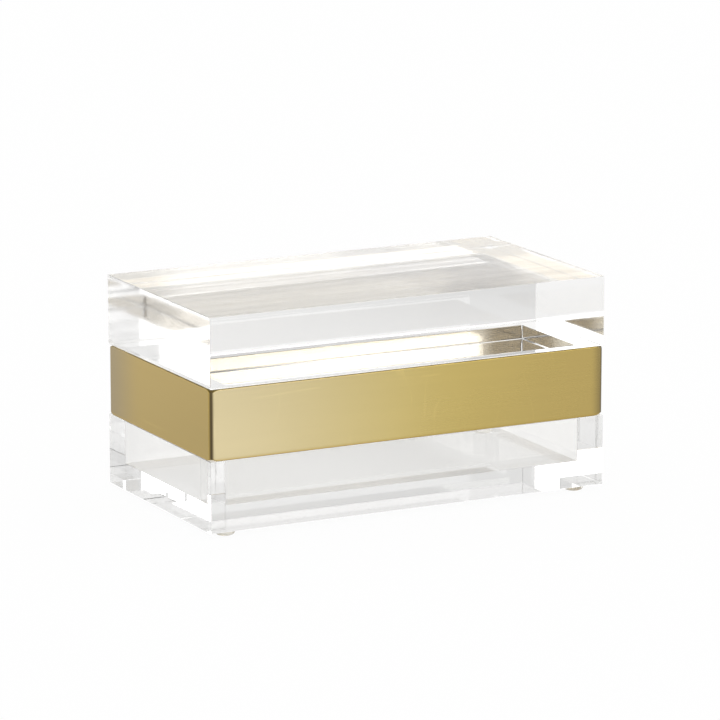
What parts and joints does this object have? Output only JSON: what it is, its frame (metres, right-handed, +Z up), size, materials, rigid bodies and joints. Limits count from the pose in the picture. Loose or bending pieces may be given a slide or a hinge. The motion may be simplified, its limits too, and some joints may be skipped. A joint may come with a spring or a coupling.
{
  "type": "lidded box",
  "caption": "Rectangular keepsake box: clear acrylic tray, brushed brass band and solid clear lift-off lid, on small bumper feet, for keeping small things.",
  "frame": {"origin": "on the table under the middle of the box, at the height of the feet's flat tips", "axes": "+X along the long front towards its right end, +Y from the front to the back, +Z up, the way the lid lifts"},
  "size_m": [0.2032, 0.1094, 0.1026],
  "materials": {
    "clear_acrylic": "clear cast acrylic with polished faces and edges",
    "brushed_brass": "pale brass, brushed along its length",
    "clear_bumper": "clear soft bumper"
  },
  "bodies": {
    "box": {"tray_wall_front": "clear_acrylic", "tray_wall_back": "clear_acrylic", "tray_wall_left": "clear_acrylic", "tray_wall_right": "clear_acrylic", "tray_floor": "clear_acrylic", "frame_rail_front": "brushed_brass", "frame_rail_back": "brushed_brass", "frame_rail_left": "brushed_brass", "frame_rail_right": "brushed_brass", "bumper_foot_front_left": "clear_bumper", "bumper_foot_front_right": "clear_bumper", "bumper_foot_back_left": "clear_bumper", "bumper_foot_back_right": "clear_bumper"},
    "lid": {"lid_block": "clear_acrylic", "lid_locating_plate": "clear_acrylic"}
  },
  "joints": [
    {"name": "lid_lift", "type": "slide", "parent": "box", "child": "lid", "axis": [0, 0, 1], "range_m": [0, 0.06]}
  ]
}
